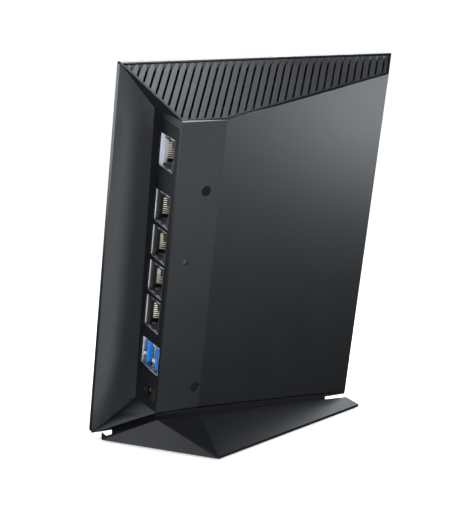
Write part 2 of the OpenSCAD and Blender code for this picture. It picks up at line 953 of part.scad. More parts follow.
module stand_bottom() {
    rim = [for (p = stand_rim) toward(p, stand_core, stand_inset + 0.15)];
    color(port_black) on_table() difference() {
        translate([0, 0, stand_plate_low]) linear_extrude(1.2) polygon(rim);
        for (s = foot_spots) translate([s[0], s[1], -1]) cylinder(r = foot_r + 0.05, h = 5);
        each_stand_screw() cylinder(r = screw_r + 0.15, h = 5);
    }
}

module stand_screws() {
    head = 0.7;
    color(steel) on_table() each_stand_screw() translate([0, 0, stand_plate_low - head]) {
        cylinder(r = head_r, h = head);
        cylinder(r = screw_r, h = 7);
    }
}

module stand_feet() {
    color(rubber_black) on_table() for (s = foot_spots) translate([s[0], s[1], 0]) {
        cylinder(r = foot_r, h = foot_h);
    }
}

front_panel();
indicator_lenses();
light_guides();
status_leds();
inner_frame();
rear_casing();
vent_grille();
port_plate();
main_board();
wan_shield();
wan_insert();
wan_contacts();
lan_shields();
lan_inserts();
lan_contacts();
usb_shell();
usb_tongues();
usb_contacts();
power_inlet();
inlet_pin();
inlet_spring();
power_button();
power_switch();
reset_button();
reset_switch();
processor();
thermal_pad();
heatsink();
heatsink_pins();
memory_chips();
radio_chips();
shield_cans();
capacitors();
power_coils();
board_screws();
casing_screws();
rear_screw();
screw_plugs();
panel_tape();
antennas();
antenna_leads();
stand_base();
stand_neck();
stand_ballast();
stand_bottom();
stand_screws();
stand_feet();
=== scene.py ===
"""Looks of the upright wireless router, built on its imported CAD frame. Metres, +Z up.

Shapes are drawn in body millimetres: x across, y from the back of the front panel to the
rear, z up the panel. TO_ROW takes them to the frame.
"""

import json
import math

import bmesh
import bpy
from mathutils import Matrix, Vector


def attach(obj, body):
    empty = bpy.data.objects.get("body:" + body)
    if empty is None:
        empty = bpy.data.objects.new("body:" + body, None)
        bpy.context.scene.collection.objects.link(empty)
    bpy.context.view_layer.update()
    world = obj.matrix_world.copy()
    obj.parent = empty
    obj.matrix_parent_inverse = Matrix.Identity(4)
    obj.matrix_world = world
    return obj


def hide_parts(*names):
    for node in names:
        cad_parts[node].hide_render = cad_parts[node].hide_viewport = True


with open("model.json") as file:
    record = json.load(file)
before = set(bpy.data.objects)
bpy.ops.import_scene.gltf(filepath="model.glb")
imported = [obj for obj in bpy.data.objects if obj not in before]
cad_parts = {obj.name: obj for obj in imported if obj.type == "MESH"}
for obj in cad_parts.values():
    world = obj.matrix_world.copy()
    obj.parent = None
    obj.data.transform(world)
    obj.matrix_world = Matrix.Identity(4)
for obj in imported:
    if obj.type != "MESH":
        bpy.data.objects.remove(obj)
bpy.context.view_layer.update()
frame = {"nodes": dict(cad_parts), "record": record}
NODES = frame["nodes"]
MM = 0.001

LEAN = math.radians(11.8)
PANEL_W, PANEL_H, PANEL_GAP = 149.0, 188.0, 3.0
STRIP_DEPTH, STRIP_OUTER, STRIP_INNER, STRIP_HIGH = 32.3, 57.1, 34.2, 169.0
SIDE_X, SIDE_DEPTH = 66.1, 11.8
BAY_HIGH = (58.36, 6.6, 167.9)  # upper end of the casing's edge along the socket bay
MID_Y = 31.718
VENT_TILT = math.atan((PANEL_H - STRIP_HIGH) / STRIP_DEPTH)
TO_ROW = (
    Matrix.Translation((0, -MID_Y * MM, PANEL_GAP * MM))
    @ Matrix.Rotation(-LEAN, 4, "X")
    @ Matrix.Scale(MM, 4)
)


# ---------------------------------------------------------------- materials

NOISE_LOW, NOISE_HIGH = 0.3, 0.7
DRIFT_SCALE, DRIFT_DETAIL = 45, 2.0
GRAIN_DETAIL, GRAIN_STRENGTH = 3.0, 0.3
POLISHED_ROUGHNESS = 0.45


def new_material(name):
    material = bpy.data.materials.new(name)
    material.use_nodes = True
    tree = material.node_tree
    return material, tree, tree.nodes["Principled BSDF"]


def noise(tree, scale, detail):
    """A noise texture in object space."""
    coordinates = tree.nodes.new("ShaderNodeTexCoord")
    texture = tree.nodes.new("ShaderNodeTexNoise")
    texture.inputs["Scale"].default_value = scale
    texture.inputs["Detail"].default_value = detail
    tree.links.new(coordinates.outputs["Object"], texture.inputs["Vector"])
    return texture.outputs["Fac"]


def spread(tree, value, low, high):
    """Maps a noise value's middle range to low..high."""
    node = tree.nodes.new("ShaderNodeMapRange")
    node.inputs["From Min"].default_value = NOISE_LOW
    node.inputs["From Max"].default_value = NOISE_HIGH
    node.inputs["To Min"].default_value = low
    node.inputs["To Max"].default_value = high
    tree.links.new(value, node.inputs["Value"])
    return node.outputs["Result"]


def blend_colours(tree, value, dark, light):
    node = tree.nodes.new("ShaderNodeMix")
    node.data_type = "RGBA"
    node.inputs[6].default_value = (*dark, 1)
    node.inputs[7].default_value = (*light, 1)
    tree.links.new(value, node.inputs[0])
    return node.outputs[2]


def bump(tree, shader, value, distance):
    node = tree.nodes.new("ShaderNodeBump")
    node.inputs["Strength"].default_value = GRAIN_STRENGTH
    node.inputs["Distance"].default_value = distance
    tree.links.new(value, node.inputs["Height"])
    tree.links.new(node.outputs["Normal"], shader.inputs["Normal"])


def finish_of(name, dark, light, rough, metallic=0.0, ior=1.5, grain=1400, height=0.00003):
    """A grained finish. Colour drifts slowly, and roughness and height follow a fine grain.

    Faces whose "polished" value is 1 are glossier.
    """
    material, tree, shader = new_material(name)
    shader.inputs["Metallic"].default_value = metallic
    shader.inputs["IOR"].default_value = ior
    drift = noise(tree, DRIFT_SCALE, DRIFT_DETAIL)
    fine = noise(tree, grain, GRAIN_DETAIL)
    tree.links.new(blend_colours(tree, spread(tree, drift, 0, 1), dark, light),
                   shader.inputs["Base Color"])
    polished = tree.nodes.new("ShaderNodeAttribute")
    polished.attribute_name = "polished"
    gloss = tree.nodes.new("ShaderNodeMapRange")
    gloss.inputs["To Min"].default_value = 1
    gloss.inputs["To Max"].default_value = POLISHED_ROUGHNESS
    tree.links.new(polished.outputs["Fac"], gloss.inputs["Value"])
    worn = tree.nodes.new("ShaderNodeMath")
    worn.operation = "MULTIPLY"
    tree.links.new(spread(tree, fine, *rough), worn.inputs[0])
    tree.links.new(gloss.outputs["Result"], worn.inputs[1])
    tree.links.new(worn.outputs["Value"], shader.inputs["Roughness"])
    bump(tree, shader, fine, height)
    return material


MATERIALS = {
    "panel": finish_of("panel_plastic", (0.006, 0.006, 0.007), (0.009, 0.009, 0.01), (0.3, 0.42)),
    "casing": finish_of("casing_plastic", (0.0035, 0.004, 0.0045), (0.0055, 0.006, 0.007),
                        (0.4, 0.5), grain=1800, ior=1.42),
    "grille": finish_of("grille_plastic", (0.022, 0.022, 0.025), (0.03, 0.03, 0.034), (0.42, 0.55)),
    "bay": finish_of("bay_plastic", (0.003, 0.003, 0.004), (0.005, 0.005, 0.007), (0.45, 0.6),
                     ior=1.32),
    "frame": finish_of("frame_plastic", (0.01, 0.01, 0.011), (0.014, 0.014, 0.015), (0.5, 0.6)),
    "board": finish_of("board_lacquer", (0.004, 0.03, 0.014), (0.006, 0.045, 0.02), (0.25, 0.4)),
    "chip": finish_of("chip_resin", (0.01, 0.01, 0.011), (0.014, 0.014, 0.015), (0.4, 0.5)),
    "pad": finish_of("thermal_pad", (0.2, 0.25, 0.4), (0.24, 0.3, 0.45), (0.6, 0.8)),
    "shield": finish_of("tinned_steel", (0.6, 0.61, 0.63), (0.7, 0.71, 0.73), (0.4, 0.5),
                        metallic=1, height=0.00001),
    "fastener": finish_of("zinc_screw", (0.5, 0.5, 0.52), (0.6, 0.6, 0.62), (0.25, 0.4),
                          metallic=1),
    "dark_fastener": finish_of("black_screw", (0.08, 0.08, 0.085), (0.12, 0.12, 0.125),
                               (0.3, 0.45), metallic=1),
    "contact": finish_of("gold_plate", (0.92, 0.84, 0.62), (0.95, 0.9, 0.72), (0.45, 0.55),
                         metallic=1),
    "jack_light": finish_of("grey_nylon", (0.6, 0.58, 0.66), (0.7, 0.68, 0.76), (0.35, 0.5)),
    "jack_dark": finish_of("black_nylon", (0.012, 0.011, 0.011), (0.018, 0.016, 0.016),
                           (0.35, 0.5)),
    "usb_tongue": finish_of("blue_nylon", (0.02, 0.24, 0.8), (0.03, 0.3, 0.92), (0.3, 0.42)),
    "sink": finish_of("anodised_sink", (0.25, 0.26, 0.28), (0.32, 0.33, 0.35), (0.35, 0.5),
                      metallic=1),
    "coil": finish_of("ferrite", (0.06, 0.055, 0.05), (0.09, 0.085, 0.08), (0.5, 0.65)),
    "capacitor": finish_of("capacitor_sleeve", (0.02, 0.02, 0.04), (0.03, 0.03, 0.06),
                           (0.25, 0.35)),
    "lens": finish_of("clear_lens", (0.5, 0.53, 0.56), (0.58, 0.6, 0.64), (0.08, 0.16)),
    "led": finish_of("led_body", (0.75, 0.75, 0.7), (0.82, 0.82, 0.78), (0.3, 0.4)),
    "button": finish_of("button_rubber", (0.008, 0.008, 0.009), (0.012, 0.012, 0.013), (0.5, 0.65)),
    "rubber": finish_of("foot_rubber", (0.004, 0.004, 0.004), (0.007, 0.007, 0.007), (0.8, 0.95),
                        ior=1.2),
    "tape": finish_of("foam_tape", (0.02, 0.02, 0.02), (0.03, 0.03, 0.03), (0.7, 0.9)),
    "cable": finish_of("lead_sheath", (0.01, 0.01, 0.01), (0.016, 0.016, 0.016), (0.4, 0.5)),
    "stand": finish_of("stand_plastic", (0.004, 0.004, 0.005), (0.006, 0.006, 0.007), (0.32, 0.42),
                       grain=1800, ior=1.36),
    "ballast": finish_of("ballast_steel", (0.3, 0.3, 0.31), (0.4, 0.4, 0.41), (0.4, 0.6),
                         metallic=1),
}


# ---------------------------------------------------------------- CAD nodes

FROM_ROW = TO_ROW.inverted()
WELD, FLAT = 0.002, math.radians(0.6)
BODY_OF = {
    node: body for body, nodes in frame["record"]["behaviour"]["bodies"].items() for node in nodes
}
SLOT_OF = {part["node"]: part["material_slot"] for part in frame["record"]["subparts"]}
for node, slot_name in SLOT_OF.items():
    mesh = NODES[node].data
    mesh.materials.clear()
    mesh.materials.append(MATERIALS[slot_name])


def make_piece(name, bm, nodes, slot_name=None, smooth=32):
    """Turns a bmesh drawn in body millimetres into a piece that stands for CAD nodes."""
    bmesh.ops.recalc_face_normals(bm, faces=bm.faces)
    bm.transform(TO_ROW)
    mesh = bpy.data.meshes.new(name)
    bm.to_mesh(mesh)
    bm.free()
    slot_name = slot_name or SLOT_OF[nodes[0]]
    mesh.materials.append(MATERIALS[slot_name])
    mesh.shade_smooth()
    mesh.set_sharp_from_angle(angle=math.radians(smooth))
    piece = bpy.data.objects.new(name, mesh)
    bpy.context.scene.collection.objects.link(piece)
    piece.modifiers.new("normals", "WEIGHTED_NORMAL").keep_sharp = True
    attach(piece, BODY_OF[nodes[0]])
    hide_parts(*nodes)
    return piece


def body_mesh(node):
    """A CAD node's mesh in body millimetres, welded and with its flat faces whole."""
    bm = bmesh.new()
    bm.from_mesh(NODES[node].data)
    bm.transform(FROM_ROW)
    bmesh.ops.remove_doubles(bm, verts=bm.verts, dist=WELD)
    bmesh.ops.dissolve_limit(bm, angle_limit=FLAT, verts=bm.verts, edges=bm.edges)
    return bm


def round_edges(bm, width, low, segments, shortest, polish):
    """Rounds the edges whose faces turn by more than low degrees, and marks the new faces.

    Edges beside faces that are already polished stay as they are.
    """
    layers = bm.faces.layers.float
    polished = layers.get("polished") or layers.new("polished")
    edges = [
        e for e in bm.edges
        if len(e.link_faces) == 2 and e.calc_length() > shortest
        and math.radians(low) < e.calc_face_angle(0) < math.pi
        and not any(f[polished] for f in e.link_faces)
    ]
    made = bmesh.ops.bevel(bm, geom=edges, offset=width, segments=segments, profile=0.5,
                           affect="EDGES", clamp_overlap=True)
    for face in made["faces"]:
        face[polished] = polish


ACROSS, UP = Vector((1, 0, 0)), Vector((0, 0, 1))
SCOOP, SCOOP_END = 1.7, 30.0
SCOOP_OUTWARD = Vector((0.5, 0.86, 0))
SIDE_COLUMNS, SIDE_MIDDLE = 12, 65
ROW_FIRST, ROW_STEP, ROW_COUNT = 4, 6.5, 26
BEND_LOW, BEND_HIGH, BEND_DEPTH = 30, 90, 0.1
SIDE_FACING, CUT_REACH = 0.2, 0.01


def join_bay_side(bm, side):
    """Joins the casing's two triangles beside the panel, marks the face and returns it."""
    inner = min(bm.verts, key=lambda v: (v.co - Vector(BAY_HIGH)).length)
    bend = next(e.other_vert(inner) for e in inner.link_edges
                if e.other_vert(inner).co.y < BEND_DEPTH
                and BEND_LOW < e.other_vert(inner).co.z < BEND_HIGH)
    diagonal = next(e for e in inner.link_edges if bend in e.verts)
    bmesh.ops.dissolve_edges(bm, edges=[diagonal])
    bmesh.ops.dissolve_verts(bm, verts=[bend])
    whole = max((f for f in inner.link_faces if f.normal.x > SIDE_FACING),
                key=lambda f: f.calc_area())
    whole[side] = 1
    return whole


def smooth_bay_side(bm):
    """Turns the casing's two triangles beside the panel into one twisted, hollowed face."""
    side = bm.faces.layers.int.new("side")
    whole = join_bay_side(bm, side)
    rims = [sorted(v.co.z for v in whole.verts if (v.co.x > SIDE_MIDDLE) == outer)
            for outer in (True, False)]
    low, high = BAY_HIGH[0], PANEL_W / 2
    cuts = [(ACROSS, low + (high - low) * (i + 1) / SIDE_COLUMNS) for i in range(SIDE_COLUMNS - 1)]
    cuts += [(UP, ROW_FIRST + ROW_STEP * i) for i in range(ROW_COUNT)]
    for normal, where in cuts:
        faces = [f for f in bm.faces if f[side]]
        edges = {e for f in faces for e in f.edges}
        corners = {v for f in faces for v in f.verts}
        bmesh.ops.bisect_plane(bm, geom=[*faces, *edges, *corners], dist=CUT_REACH,
                               plane_co=normal * where, plane_no=normal)
    for v in bm.verts:
        if v.link_faces and all(f[side] for f in v.link_faces):
            across = (high - v.co.x) / (high - low)
            bottom, top = (rims[0][k] + (rims[1][k] - rims[0][k]) * across for k in (0, -1))
            ends = min(v.co.z - bottom, top - v.co.z, SCOOP_END) / SCOOP_END
            depth = SCOOP * math.sin(math.pi * across) * math.sin(math.pi / 2 * ends)
            v.co -= SCOOP_OUTWARD * depth


def refined(node, width, segments=2, low=20, shortest=1.2, shape=None, polish=1.0, smooth=32):
    """A CAD node's own shape with rounded edges, changed first by shape where it is given."""
    bm = body_mesh(node)
    if shape:
        shape(bm)
    round_edges(bm, width, low, segments, shortest, polish)
    return make_piece(node + "_finish", bm, [node], smooth=smooth)


RIM_SHORTEST, RIM_CHAMFER = 5, 0.4
ALONG_SLOPE, FACING_REAR = 0.99, 0.9
CREASE_SHORTEST, CREASE_ROUND = 20, 0.25
CREASE_LEAST, CREASE_MOST = math.radians(8), math.radians(15)
CREASE_REACH, CREASE_DEPTH = 0.5, 30


def shape_casing(bm):
    """Hollows the bay side, chamfers the vent's lower rim and softens the strip's crease."""
    polished = bm.faces.layers.float.new("polished")
    smooth_bay_side(bm)
    up_slope = Vector((0, math.sin(VENT_TILT), math.cos(VENT_TILT)))
    rim = [
        e for e in bm.edges
        if len(e.link_faces) == 2 and e.calc_length() > RIM_SHORTEST
        and max(f.normal.dot(up_slope) for f in e.link_faces) > ALONG_SLOPE
        and max(f.normal.y for f in e.link_faces) > FACING_REAR
    ]
    made = bmesh.ops.bevel(bm, geom=rim, offset=RIM_CHAMFER, segments=1, affect="EDGES")
    for face in made["faces"]:
        face[polished] = 1
    crease = [
        e for e in bm.edges
        if len(e.link_faces) == 2 and e.calc_length() > CREASE_SHORTEST
        and CREASE_LEAST < e.calc_face_angle(0) < CREASE_MOST
        and all(abs(v.co.x - STRIP_INNER) < CREASE_REACH and v.co.y > CREASE_DEPTH
                for v in e.verts)
    ]
    bmesh.ops.bevel(bm, geom=crease, offset=CREASE_ROUND, segments=2, profile=0.5,
                    affect="EDGES")


refined("rear_casing", 0.32, shape=shape_casing, segments=3, low=22, smooth=28)
refined("front_panel", 0.45, segments=3)
refined("port_plate", 0.15)
refined("stand_base", 0.3, segments=1, low=8, smooth=5)
refined("stand_neck", 0.25)
refined("screw_plugs", 0.25, shortest=0.1)
refined("power_button", 0.2)
refined("reset_button", 0.15, shortest=0.05)
refined("rear_screw", 0.08, shortest=0.2)
refined("stand_feet", 0.3, shortest=0.1)
refined("power_inlet", 0.2, shortest=0.2)
refined("inlet_pin", 0.6, segments=4, shortest=0.05, polish=0)


# ---------------------------------------------------------------- shapes

def add_box(bm, low, high, width=0.0):
    """A box between two corners, with its edges rounded by width."""
    made = bmesh.ops.create_cube(bm, size=1)["verts"]
    centre = (Vector(low) + Vector(high)) / 2
    size = Vector(high) - Vector(low)
    for v in made:
        v.co = Vector(a * b + c for a, b, c in zip(v.co, size, centre))
    if width:
        edges = list({e for v in made for e in v.link_edges})
        bmesh.ops.bevel(bm, geom=edges, offset=width, segments=2, profile=0.5, affect="EDGES")


def add_prism(bm, outline, offset):
    """A prism of an outline of 3-D points, pushed through by offset. Returns its first face."""
    near = [bm.verts.new(p) for p in outline]
    far = [bm.verts.new(Vector(p) + Vector(offset)) for p in outline]
    top = bm.faces.new(near)
    bm.faces.new(list(reversed(far)))
    for i in range(len(near)):
        k = (i + 1) % len(near)
        bm.faces.new((near[k], near[i], far[i], far[k]))
    return top


# ---------------------------------------------------------------- vent

VENT_DROP = 1 / math.cos(VENT_TILT)
VENT_CORNERS = [
    (PANEL_W / 2, 0), (STRIP_OUTER, STRIP_DEPTH * VENT_DROP), (STRIP_INNER, STRIP_DEPTH * VENT_DROP),
    (-SIDE_X, SIDE_DEPTH * VENT_DROP), (-PANEL_W / 2, 0),
]
SLOT_FIRST, SLOT_PITCH, SLOT_W, SLOT_SLANT = 66.9, 4.07, 1.15, 0.625
SLOTS = range(-3, 36)
RIB_INSET, RIB_DROP, RIB_H, RIB_LENGTH = 1.25, 0.3, 1.3, 45
RIB_ROUND, RIB_EDGE_SHORTEST = 0.3, 1
POINT_END, POINT_HALF = 4.2, 0.25
RAMP_END, RAMP_HALF, RAMP_DROP, RAMP_SLOPE = 4.4, 0.3, 0.1, 0.5
RING_OUTER, RING_INNER, RING_TOP, RING_LOW = 1.0, 2.2, 0.5, 1.3


def inset_polygon(points, inset):
    """A convex outline pushed in by inset. Its points run anticlockwise seen from above."""
    lines = []
    for i, p in enumerate(points):
        q = points[(i + 1) % len(points)]
        along = (Vector(q) - Vector(p)).normalized()
        inward = Vector((-along.y, along.x))
        lines.append((Vector(p) + inward * inset, along))
    found = []
    for i, (p, d) in enumerate(lines):
        q, e = lines[i - 1]
        t = ((q - p).x * e.y - (q - p).y * e.x) / (d.x * e.y - d.y * e.x)
        found.append(p + d * t)
    return found


def clip(points, border):
    """The part of a polygon inside a convex border that runs anticlockwise."""
    for i, a in enumerate(border):
        along = border[(i + 1) % len(border)] - a
        kept = []
        for k, q in enumerate(points):
            p = points[k - 1]
            sides = [along.x * (v - a).y - along.y * (v - a).x for v in (p, q)]
            if (sides[0] > 0) != (sides[1] > 0):
                kept.append(p + (q - p) * sides[0] / (sides[0] - sides[1]))
            if sides[1] > 0:
                kept.append(q)
        points = kept
        if not points:
            return []
    return points


def on_vent(x, s, depth=0.0):
    """Body point at x across the vent, s down its slope and depth below its surface."""
    return Vector((
        x,
        s * math.cos(VENT_TILT) - depth * math.sin(VENT_TILT),
        PANEL_H - s * math.sin(VENT_TILT) - depth * math.cos(VENT_TILT),
    ))


def slanted(x, s):
    """A point s down the slope, on the slanted line that starts at x."""
    return Vector((x + SLOT_SLANT * s, s))


def make_vent_ribs(outline):
    """Slanted ribs that run to points at the top, with a polished ramp between each pair."""
    inner = inset_polygon(outline, RIB_INSET)
    ribs, ramps = bmesh.new(), bmesh.new()
    tops = []
    down = on_vent(0, 0, RIB_H) - on_vent(0, 0, 0)
    for i in SLOTS:
        left = SLOT_FIRST - SLOT_PITCH * i
        right = left - SLOT_PITCH + SLOT_W
        middle = (left + right) / 2
        rib = [slanted(middle - POINT_HALF, 0), slanted(middle + POINT_HALF, 0),
               slanted(left, POINT_END), slanted(left, RIB_LENGTH),
               slanted(right, RIB_LENGTH), slanted(right, POINT_END)]
        rib = clip(rib, inner)
        if len(rib) > 2:
            tops.append(add_prism(ribs, [on_vent(p.x, p.y, RIB_DROP) for p in rib], down))
        gap = left + SLOT_W / 2
        ramp = [slanted(gap - SLOT_PITCH / 2, 0), slanted(gap + SLOT_PITCH / 2, 0),
                slanted(gap + RAMP_HALF, RAMP_END), slanted(gap - RAMP_HALF, RAMP_END)]
        ramp = clip(ramp, inner)
        if len(ramp) > 2:
            surface = [on_vent(p.x, p.y, RIB_DROP + RAMP_DROP + (p.y - RIB_INSET) * RAMP_SLOPE)
                       for p in ramp]
            add_prism(ramps, surface, down)
    edges = [e for f in tops for e in f.edges if e.calc_length() > RIB_EDGE_SHORTEST]
    bmesh.ops.bevel(ribs, geom=edges, offset=RIB_ROUND, segments=2, profile=0.5, affect="EDGES",
                    clamp_overlap=True)
    make_piece("vent_ribs", ribs, ["vent_grille"])
    polished = ramps.faces.layers.float.new("polished")
    for face in ramps.faces:
        face[polished] = 1
    make_piece("vent_ramps", ramps, ["vent_grille"])


def make_vent_ring(outline):
    """The ring that the ribs end in, below the casing's rim."""
    ring = bmesh.new()
    outer = inset_polygon(outline, RING_OUTER)
    hole = inset_polygon(outline, RING_INNER)
    count = len(outer)
    top_out, top_in, low_out, low_in = (
        [ring.verts.new(on_vent(p.x, p.y, RIB_DROP + level)) for p in border]
        for level in (RING_TOP, RING_LOW) for border in (outer, hole)
    )
    for i in range(count):
        k = (i + 1) % count
        ring.faces.new((top_out[i], top_out[k], top_in[k], top_in[i]))
        ring.faces.new((low_out[k], low_out[i], low_in[i], low_in[k]))
        ring.faces.new((top_out[k], top_out[i], low_out[i], low_out[k]))
        ring.faces.new((top_in[i], top_in[k], low_in[k], low_in[i]))
    make_piece("vent_ring", ring, ["vent_grille"])


VENT_OUTLINE = [Vector(p) for p in VENT_CORNERS]
make_vent_ribs(VENT_OUTLINE)
make_vent_ring(VENT_OUTLINE)


# ---------------------------------------------------------------- network sockets

FACE = 57.2
JACK_W, JACK_LOW, JACK_HIGH = 16.0, 13.2, 27.4
MOUTH_W, MOUTH_LOW, MOUTH_HIGH = 11.9, 16.4, 23.7
LATCH_W, LATCH_HIGH = 6.2, 26.3
SKIN, LIP_ROUND = 0.4, 0.19
INSERT_BACK, COLLAR_BACK, CORE_BACK, CORE_END, CAN_DEPTH = 0.5, 2.6, 15.0, 20.6, 21.0
COLLAR_ROUND, CORE_FLOOR_DROP = 0.14, 0.9
CONTACTS, CONTACT_PITCH, CONTACT_W, CONTACT_T, CONTACT_SHIFT = 8, 1.02, 0.46, 0.32, 0.1
# Depth behind the socket face and y, along one contact
CONTACT_PATH = [(2.3, 15.9), (2.7, 16.75), (8.2, 20.1), (9.4, 20.1)]
SPRING_SPANS = ((17.0, 19.4), (22.6, 25.0))
# Depth behind the socket face and distance in from the shield, round one earthing tab
SPRING_PATH = [(0.15, 0), (0.15, 0.45), (1.6, 1.7), (3.2, 1.9), (3.2, 1.6), (1.6, 1.3)]


def add_frame(bm, z, front, back, floor, width=0.0, plate=None):
    """A ring of nylon round one plug room, from depth front to back behind the socket face.

    The bar on the panel's side goes to plate, when it is given.
    """
    x0, x1 = FACE - back, FACE - front
    low, high = JACK_LOW + SKIN, JACK_HIGH - SKIN
    half, mouth, latch = JACK_W / 2 - SKIN, MOUTH_W / 2, LATCH_W / 2
    for y0, y1, z0, z1 in (
        (low, floor, -half, half), (floor, high, mouth, half), (floor, high, -half, -mouth),
        (MOUTH_HIGH, high, latch, mouth), (MOUTH_HIGH, high, -mouth, -latch),
        (LATCH_HIGH, high, -latch, latch),
    ):
        add_box(plate if plate and y0 == low else bm, (x0, y0, z + z0), (x1, y1, z + z1), width)


def add_contacts(bm, z):
    """Wires that leave the floor of the plug room and rise towards its back."""
    for i in range(CONTACTS):
        low = z + (i - (CONTACTS - 1) / 2) * CONTACT_PITCH - CONTACT_W / 2
        outline = [(FACE - d, y, low) for d, y in CONTACT_PATH]
        outline += [(FACE - d - CONTACT_SHIFT, y - CONTACT_T, low)
                    for d, y in reversed(CONTACT_PATH)]
        add_prism(bm, outline, (0, 0, CONTACT_W))


def add_springs(bm, z):
    """Bent earthing tabs at both ends of a socket's mouth."""
    for side in (-1, 1):
        edge = z + side * (JACK_W / 2 - SKIN)
        for y0, y1 in SPRING_SPANS:
            outline = [(FACE - depth, y0, edge - side * inward) for depth, inward in SPRING_PATH]
            add_prism(bm, outline, (0, y1 - y0, 0))


def make_jacks(prefix, heights, collar_slot):
    """The sockets at these heights: shields, collars, dark cores and contacts. The WAN insert is
    light nylon, and its black walls and core are painted shade.
    """
    shields, collars, cores_and_painted_shade, wires = (bmesh.new() for _ in range(4))
    for z in heights:
        outer = (JACK_LOW, JACK_HIGH, -JACK_W / 2, JACK_W / 2)
        add_can(shields, z, outer, CAN_DEPTH)
        add_springs(shields, z)
        # For the WAN socket only the panel-side bar takes the light collar_slot; the black walls and
        # core behind it are painted shade inside a light insert
        add_frame(cores_and_painted_shade, z, INSERT_BACK, COLLAR_BACK, MOUTH_LOW, COLLAR_ROUND, collars)
        add_frame(cores_and_painted_shade, z, COLLAR_BACK, CORE_BACK, MOUTH_LOW - CORE_FLOOR_DROP)
        half = JACK_W / 2 - SKIN
        add_box(cores_and_painted_shade, (FACE - CORE_END, JACK_LOW + SKIN, z - half),
                (FACE - CORE_BACK, JACK_HIGH - SKIN, z + half))
        add_contacts(wires, z)
    insert = "wan_insert" if prefix == "wan" else "lan_inserts"
    shield = "wan_shield" if prefix == "wan" else "lan_shields"
    make_piece(prefix + "_shield_finish", shields, [shield])
    make_piece(prefix + "_collar", collars, [insert], collar_slot)
    make_piece(prefix + "_core", cores_and_painted_shade, [insert], "jack_dark")
    make_piece(prefix + "_wires", wires, [prefix + "_contacts"])


def add_can(bm, z, outer, depth):
    """A thin metal can, open at its face, with a rounded lip."""
    low, high, left, right = outer
    for y0, y1, z0, z1 in (
        (low, high, left, left + SKIN), (low, high, right - SKIN, right),
        (low, low + SKIN, left + SKIN, right - SKIN),
        (high - SKIN, high, left + SKIN, right - SKIN),
    ):
        add_box(bm, (FACE - depth, y0, z + z0), (FACE, y1, z + z1), LIP_ROUND)
    add_box(bm, (FACE - depth, low, z + left), (FACE - depth + SKIN, high, z + right))


WAN_HEIGHT, LAN_LOWEST, LAN_PITCH, LAN_COUNT = 150.6, 70.6, 17.67, 4
# The WAN socket's light insert gets black walls and a black core as painted shade; the LAN sockets'
# black nylon is their own colour
make_jacks("wan", [WAN_HEIGHT], "jack_light")
make_jacks("lan", [LAN_LOWEST + LAN_PITCH * i for i in range(LAN_COUNT)], "jack_dark")


# ---------------------------------------------------------------- USB sockets

USB_Z, USB_W, USB_LOW, USB_HIGH, USB_DEPTH = 49.6, 14.4, 13.2, 30.4, 17.5
USB_HALF = USB_W / 2 - SKIN
USB_BACK = FACE - 15
DIVIDER_LOW, DIVIDER_HIGH, DIVIDER_RECESS, DIVIDER_ROUND = 20.9, 22.7, 1.9, 0.8
FINGER_LOWS, FINGER_HEIGHTS, FINGER_W = (14.2, 23.6), (5.6, -2.6), 1.7
# Depth behind the socket face and rise above the finger's low value, round one sprung finger
FINGER_PATH = [(0.3, -0.5), (0.3, 0.1), (2.4, 1.9), (3.0, 1.9), (3.0, 1.5)]
TONGUE_TOPS, TONGUE_BELOW, TONGUE_ABOVE, TONGUE_HALF = (17.1, 26.5), 1.5, 0.3, 5.7
TONGUE_RECESS, TONGUE_ROUND = 1.2, 0.15
USB_STRIPS, USB_STRIP_PITCH, USB_STRIP_HALF = 4, 2.5, 0.5
USB_STRIP_TOP, USB_STRIP_RECESS = 0.45, 3.4
# Painted shade: black boxes along the shell's walls and divider deep in each USB socket stand in for
# the shade there
PAINTED_SHADE_SPANS, PAINTED_SHADE_RECESS = ((13.6, 14.5), (19.7, 20.9), (22.7, 23.9), (29.1, 30.0)), 3.6


def make_usb_shell():
    """Two receptacles in one thin shell with a recessed divider and sprung fingers."""
    shell = bmesh.new()
    add_can(shell, USB_Z, (USB_LOW, USB_HIGH, -USB_W / 2, USB_W / 2), USB_DEPTH)
    add_box(shell, (USB_BACK, DIVIDER_LOW, USB_Z - USB_HALF),
            (FACE - DIVIDER_RECESS, DIVIDER_HIGH, USB_Z + USB_HALF), DIVIDER_ROUND)
    for low in FINGER_LOWS:
        for height in FINGER_HEIGHTS:
            outline = [(FACE - depth, low + rise, USB_Z + height) for depth, rise in FINGER_PATH]
            add_prism(shell, outline, (0, 0, FINGER_W))
    make_piece("usb_shell_finish", shell, ["usb_shell"])


def make_usb_inside():
    """Blue tongues with four contact strips each, and black boxes round them deep in the sockets,
    which are painted shade.
    """
    tongues, strips, painted_shade = (bmesh.new() for _ in range(3))
    for y in TONGUE_TOPS:
        add_box(tongues, (USB_BACK, y - TONGUE_BELOW, USB_Z - TONGUE_HALF),
                (FACE - TONGUE_RECESS, y + TONGUE_ABOVE, USB_Z + TONGUE_HALF), TONGUE_ROUND)
        for i in range(USB_STRIPS):
            z = USB_Z + (i - (USB_STRIPS - 1) / 2) * USB_STRIP_PITCH
            add_box(strips, (USB_BACK, y + TONGUE_ABOVE, z - USB_STRIP_HALF),
                    (FACE - USB_STRIP_RECESS, y + USB_STRIP_TOP, z + USB_STRIP_HALF))
    # Black boxes deep in the sockets: painted shade, not a real part
    for y0, y1 in PAINTED_SHADE_SPANS:
        add_box(painted_shade, (USB_BACK, y0, USB_Z - USB_HALF),
                (FACE - PAINTED_SHADE_RECESS, y1, USB_Z + USB_HALF))
    make_piece("usb_tongues_finish", tongues, ["usb_tongues"])
    make_piece("usb_strips", strips, ["usb_contacts"])
    make_piece("usb_painted_shade", painted_shade, ["usb_shell"], "jack_dark")


make_usb_shell()
make_usb_inside()


# ---------------------------------------------------------------- stage

COOL_WHITE = (0.94, 1, 1.05)
POWER_PER_AREA = 4
FLOOR_REACH = 200


